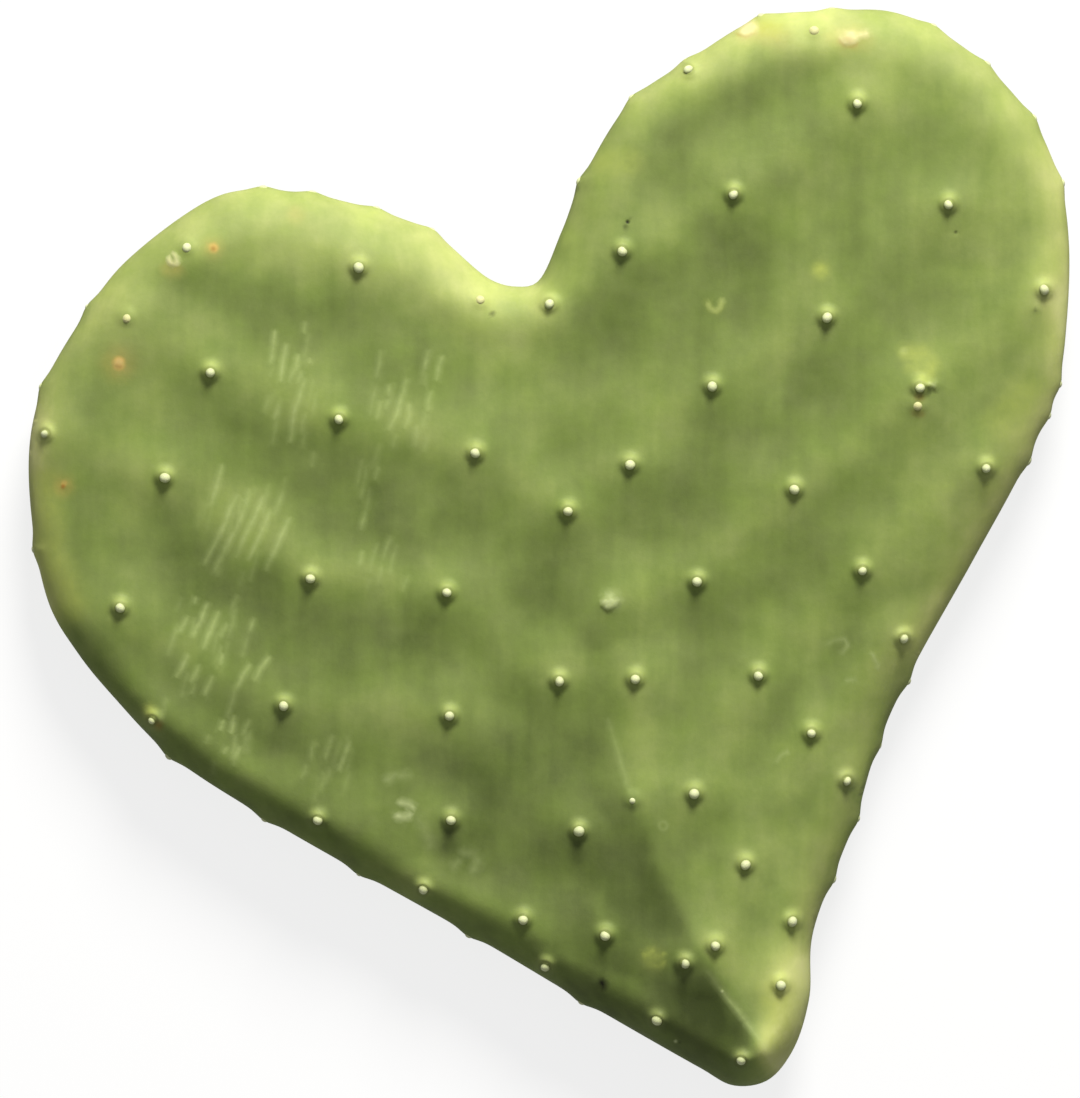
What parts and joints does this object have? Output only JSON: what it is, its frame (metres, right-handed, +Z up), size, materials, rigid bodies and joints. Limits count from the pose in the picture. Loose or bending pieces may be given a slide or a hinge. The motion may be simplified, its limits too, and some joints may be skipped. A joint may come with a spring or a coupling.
{
  "type": "prickly pear cactus pad",
  "caption": "Heart-shaped, spineless prickly pear pad lying on its back, with woolly areoles raised on low ridges, a rounded rim and a keel that rises towards the stem end.",
  "frame": {"origin": "on the surface that the pad lies on, under the middle of its outline", "axes": "+Z up out of the pad's front face, +Y towards the taller lobe with the stem end at -Y, +X to the right seen from above"},
  "size_m": [0.248, 0.2568, 0.0305],
  "materials": {
    "pad_skin": "waxy, mottled green cactus skin with a soft satin sheen",
    "areole_wool": "short, dense, cream-coloured wool of the areoles; for the beads that the visual model adds"
  },
  "bodies": {
    "root": {"pad": "pad_skin"}
  },
  "joints": []
}
